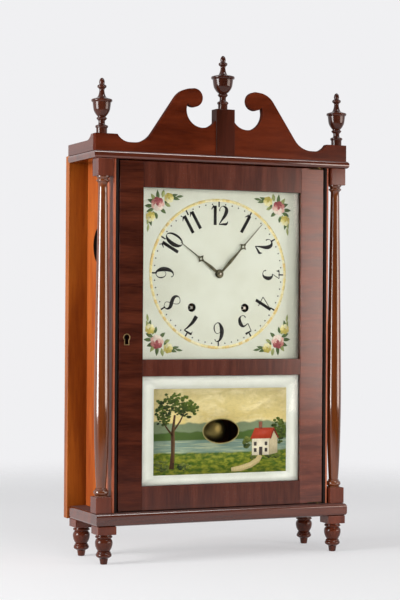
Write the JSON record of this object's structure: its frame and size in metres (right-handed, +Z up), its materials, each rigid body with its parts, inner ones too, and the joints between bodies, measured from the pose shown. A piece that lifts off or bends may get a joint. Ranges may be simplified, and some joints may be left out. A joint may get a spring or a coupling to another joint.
{
  "type": "pillar and scroll clock",
  "caption": "Weight-driven shelf clock: veneered case on turned feet, slim columns, glazed door over dial and painted tablet, scroll pediment with urn finials.",
  "frame": {"origin": "on the floor under the middle of the clock's box", "axes": "+X to the viewer's right, -Y out of the front, +Z up"},
  "size_m": [0.439, 0.141, 0.787],
  "materials": {
    "mahogany": "figured mahogany veneer, shellac polish",
    "turned_mahogany": "turned mahogany, shellac polish",
    "case_wood": "stained pine, satin",
    "inner_wood": "bare oak, cherry and pine",
    "door_veneer": "cross-banded mahogany veneer, shellac polish",
    "dial_paint": "painted wood, satin",
    "clear_glass": "clear old window glass",
    "painted_glass": "glass painted on its back, gloss",
    "brass": "aged brass",
    "escutcheon_metal": "dull brass",
    "steel": "drawn steel",
    "blued_steel": "dark blued steel",
    "iron": "cast iron, as cast",
    "bell_metal": "cast bell metal",
    "cord": "twisted linen cord"
  },
  "bodies": {
    "case": {"base_board": "mahogany", "feet": "mahogany", "left_case_side": "case_wood", "right_case_side": "case_wood", "backboard": "case_wood", "top_board": "mahogany", "columns": "turned_mahogany", "column_blocks": "mahogany", "scroll_board": "mahogany", "scroll_returns": "mahogany", "pediment_blocks": "mahogany", "finials": "turned_mahogany", "case_battens": "inner_wood", "dial": "dial_paint", "front_plate": "inner_wood", "back_plate": "inner_wood", "plate_pillars": "inner_wood", "front_bridge": "brass", "bell": "bell_metal", "bell_stand": "iron", "pulley_brackets": "iron", "cord_leads": "cord", "time_cord": "cord", "strike_cord": "cord", "pivot_pins": "steel"},
    "door": {"hinge_stile": "door_veneer", "lock_stile": "door_veneer", "top_rail": "door_veneer", "middle_rail": "door_veneer", "bottom_rail": "door_veneer", "dial_glass": "clear_glass", "tablet_glass": "painted_glass", "glazing_strips": "inner_wood", "keyhole_escutcheon": "escutcheon_metal", "lock_case": "iron", "pivot_plates": "brass"},
    "lock_bolt": {"lock_bolt": "steel"},
    "centre_arbor": {"centre_wheel": "brass", "minute_hand": "blued_steel"},
    "hour_pipe": {"hour_wheel": "brass", "hour_hand": "blued_steel"},
    "minute_wheel": {"minute_wheel": "brass"},
    "time_great_wheel": {"time_great_wheel": "inner_wood"},
    "third_arbor": {"third_wheel": "brass"},
    "escape_arbor": {"escape_wheel": "brass"},
    "verge": {"verge": "steel"},
    "pendulum": {"pendulum_rod": "steel", "pendulum_bob": "brass"},
    "time_drum": {"time_drum": "inner_wood"},
    "strike_drum": {"strike_drum": "inner_wood"},
    "time_pulley": {"time_pulley": "inner_wood"},
    "strike_pulley": {"strike_pulley": "inner_wood"},
    "time_weight": {"time_weight": "iron"},
    "strike_weight": {"strike_weight": "iron"},
    "strike_great_wheel": {"strike_great_wheel": "inner_wood"},
    "pin_arbor": {"pin_wheel": "brass"},
    "warning_arbor": {"warning_wheel": "brass"},
    "fly_arbor": {"fly": "brass"},
    "hammer": {"hammer": "steel"}
  },
  "joints": [
    {"name": "door_swing", "type": "hinge", "parent": "case", "child": "door", "pos_m": [0.1695, -0.0535, 0.0775], "axis": [0, 0, 1], "range_deg": [0, 115]},
    {"name": "lock_bolt_throw", "type": "slide", "parent": "door", "child": "lock_bolt", "axis": [-1, 0, 0], "range_m": [0, 0.006]},
    {"name": "minute_hand_turn", "type": "hinge", "parent": "case", "child": "centre_arbor", "pos_m": [0, 0, 0.4444], "axis": [0, 1, 0], "continuous": true},
    {"name": "hour_hand_turn", "type": "hinge", "parent": "case", "child": "hour_pipe", "pos_m": [0, 0, 0.4444], "axis": [0, 1, 0], "continuous": true},
    {"name": "minute_wheel_turn", "type": "hinge", "parent": "case", "child": "minute_wheel", "pos_m": [0, 0, 0.4648], "axis": [0, 1, 0], "continuous": true},
    {"name": "great_wheel_turn", "type": "hinge", "parent": "case", "child": "time_great_wheel", "pos_m": [0.046, 0, 0.391], "axis": [0, 1, 0], "continuous": true},
    {"name": "third_wheel_turn", "type": "hinge", "parent": "case", "child": "third_arbor", "pos_m": [-0.02354, 0, 0.41716], "axis": [0, 1, 0], "continuous": true},
    {"name": "escape_wheel_turn", "type": "hinge", "parent": "case", "child": "escape_arbor", "pos_m": [0, 0, 0.40275], "axis": [0, 1, 0], "continuous": true},
    {"name": "pendulum_swing", "type": "hinge", "parent": "case", "child": "pendulum", "pos_m": [0, 0, 0.37985], "axis": [0, 1, 0], "range_deg": [-3, 3]},
    {"name": "verge_rock", "type": "hinge", "parent": "case", "child": "verge", "pos_m": [0, 0, 0.37985], "axis": [0, 1, 0], "range_deg": [-3, 3]},
    {"name": "time_weight_lift", "type": "slide", "parent": "case", "child": "time_weight", "axis": [0, 0, 1], "range_m": [0, 0.345], "deforming": ["time_cord"]},
    {"name": "time_drum_turn", "type": "hinge", "parent": "case", "child": "time_drum", "pos_m": [0.046, 0, 0.391], "axis": [0, 1, 0], "range_deg": [0, 1246]},
    {"name": "time_pulley_turn", "type": "hinge", "parent": "case", "child": "time_pulley", "pos_m": [0.1377, 0.027, 0.598], "axis": [0, 1, 0], "range_deg": [-1295, 0]},
    {"name": "strike_weight_lift", "type": "slide", "parent": "case", "child": "strike_weight", "axis": [0, 0, 1], "range_m": [0, 0.345], "deforming": ["strike_cord"]},
    {"name": "strike_drum_turn", "type": "hinge", "parent": "case", "child": "strike_drum", "pos_m": [-0.046, 0, 0.391], "axis": [0, 1, 0], "range_deg": [-851, 0]},
    {"name": "strike_pulley_turn", "type": "hinge", "parent": "case", "child": "strike_pulley", "pos_m": [-0.1377, 0.027, 0.598], "axis": [0, 1, 0], "range_deg": [0, 1295]},
    {"name": "pin_wheel_turn", "type": "hinge", "parent": "case", "child": "pin_arbor", "pos_m": [-0.07826, 0, 0.38531], "axis": [0, 1, 0], "continuous": true},
    {"name": "strike_great_turn", "type": "hinge", "parent": "case", "child": "strike_great_wheel", "pos_m": [-0.046, 0, 0.391], "axis": [0, 1, 0], "continuous": true},
    {"name": "warning_wheel_turn", "type": "hinge", "parent": "case", "child": "warning_arbor", "pos_m": [-0.10033, 0, 0.40518], "axis": [0, 1, 0], "continuous": true},
    {"name": "fly_turn", "type": "hinge", "parent": "case", "child": "fly_arbor", "pos_m": [-0.10408, 0, 0.42646], "axis": [0, 1, 0], "continuous": true},
    {"name": "hammer_lift", "type": "hinge", "parent": "case", "child": "hammer", "pos_m": [-0.06, 0, 0.4944], "axis": [0, 1, 0], "range_deg": [-12, 0]}
  ],
  "couplings": [
    {"joint": "hour_hand_turn", "follows": "minute_hand_turn", "ratio": 0.083333},
    {"joint": "minute_wheel_turn", "follows": "minute_hand_turn", "ratio": -0.33333},
    {"joint": "great_wheel_turn", "follows": "minute_hand_turn", "ratio": -0.125},
    {"joint": "third_wheel_turn", "follows": "minute_hand_turn", "ratio": -8},
    {"joint": "escape_wheel_turn", "follows": "minute_hand_turn", "ratio": 84},
    {"joint": "verge_rock", "follows": "pendulum_swing", "ratio": 1},
    {"joint": "time_drum_turn", "follows": "time_weight_lift", "rad_per_m": 62.893},
    {"joint": "time_pulley_turn", "follows": "time_weight_lift", "rad_per_m": -65.359},
    {"joint": "strike_drum_turn", "follows": "strike_weight_lift", "rad_per_m": -42.918},
    {"joint": "strike_pulley_turn", "follows": "strike_weight_lift", "rad_per_m": 65.359},
    {"joint": "strike_great_turn", "follows": "pin_wheel_turn", "ratio": -0.076923},
    {"joint": "warning_wheel_turn", "follows": "pin_wheel_turn", "ratio": -10},
    {"joint": "fly_turn", "follows": "pin_wheel_turn", "ratio": 80}
  ]
}
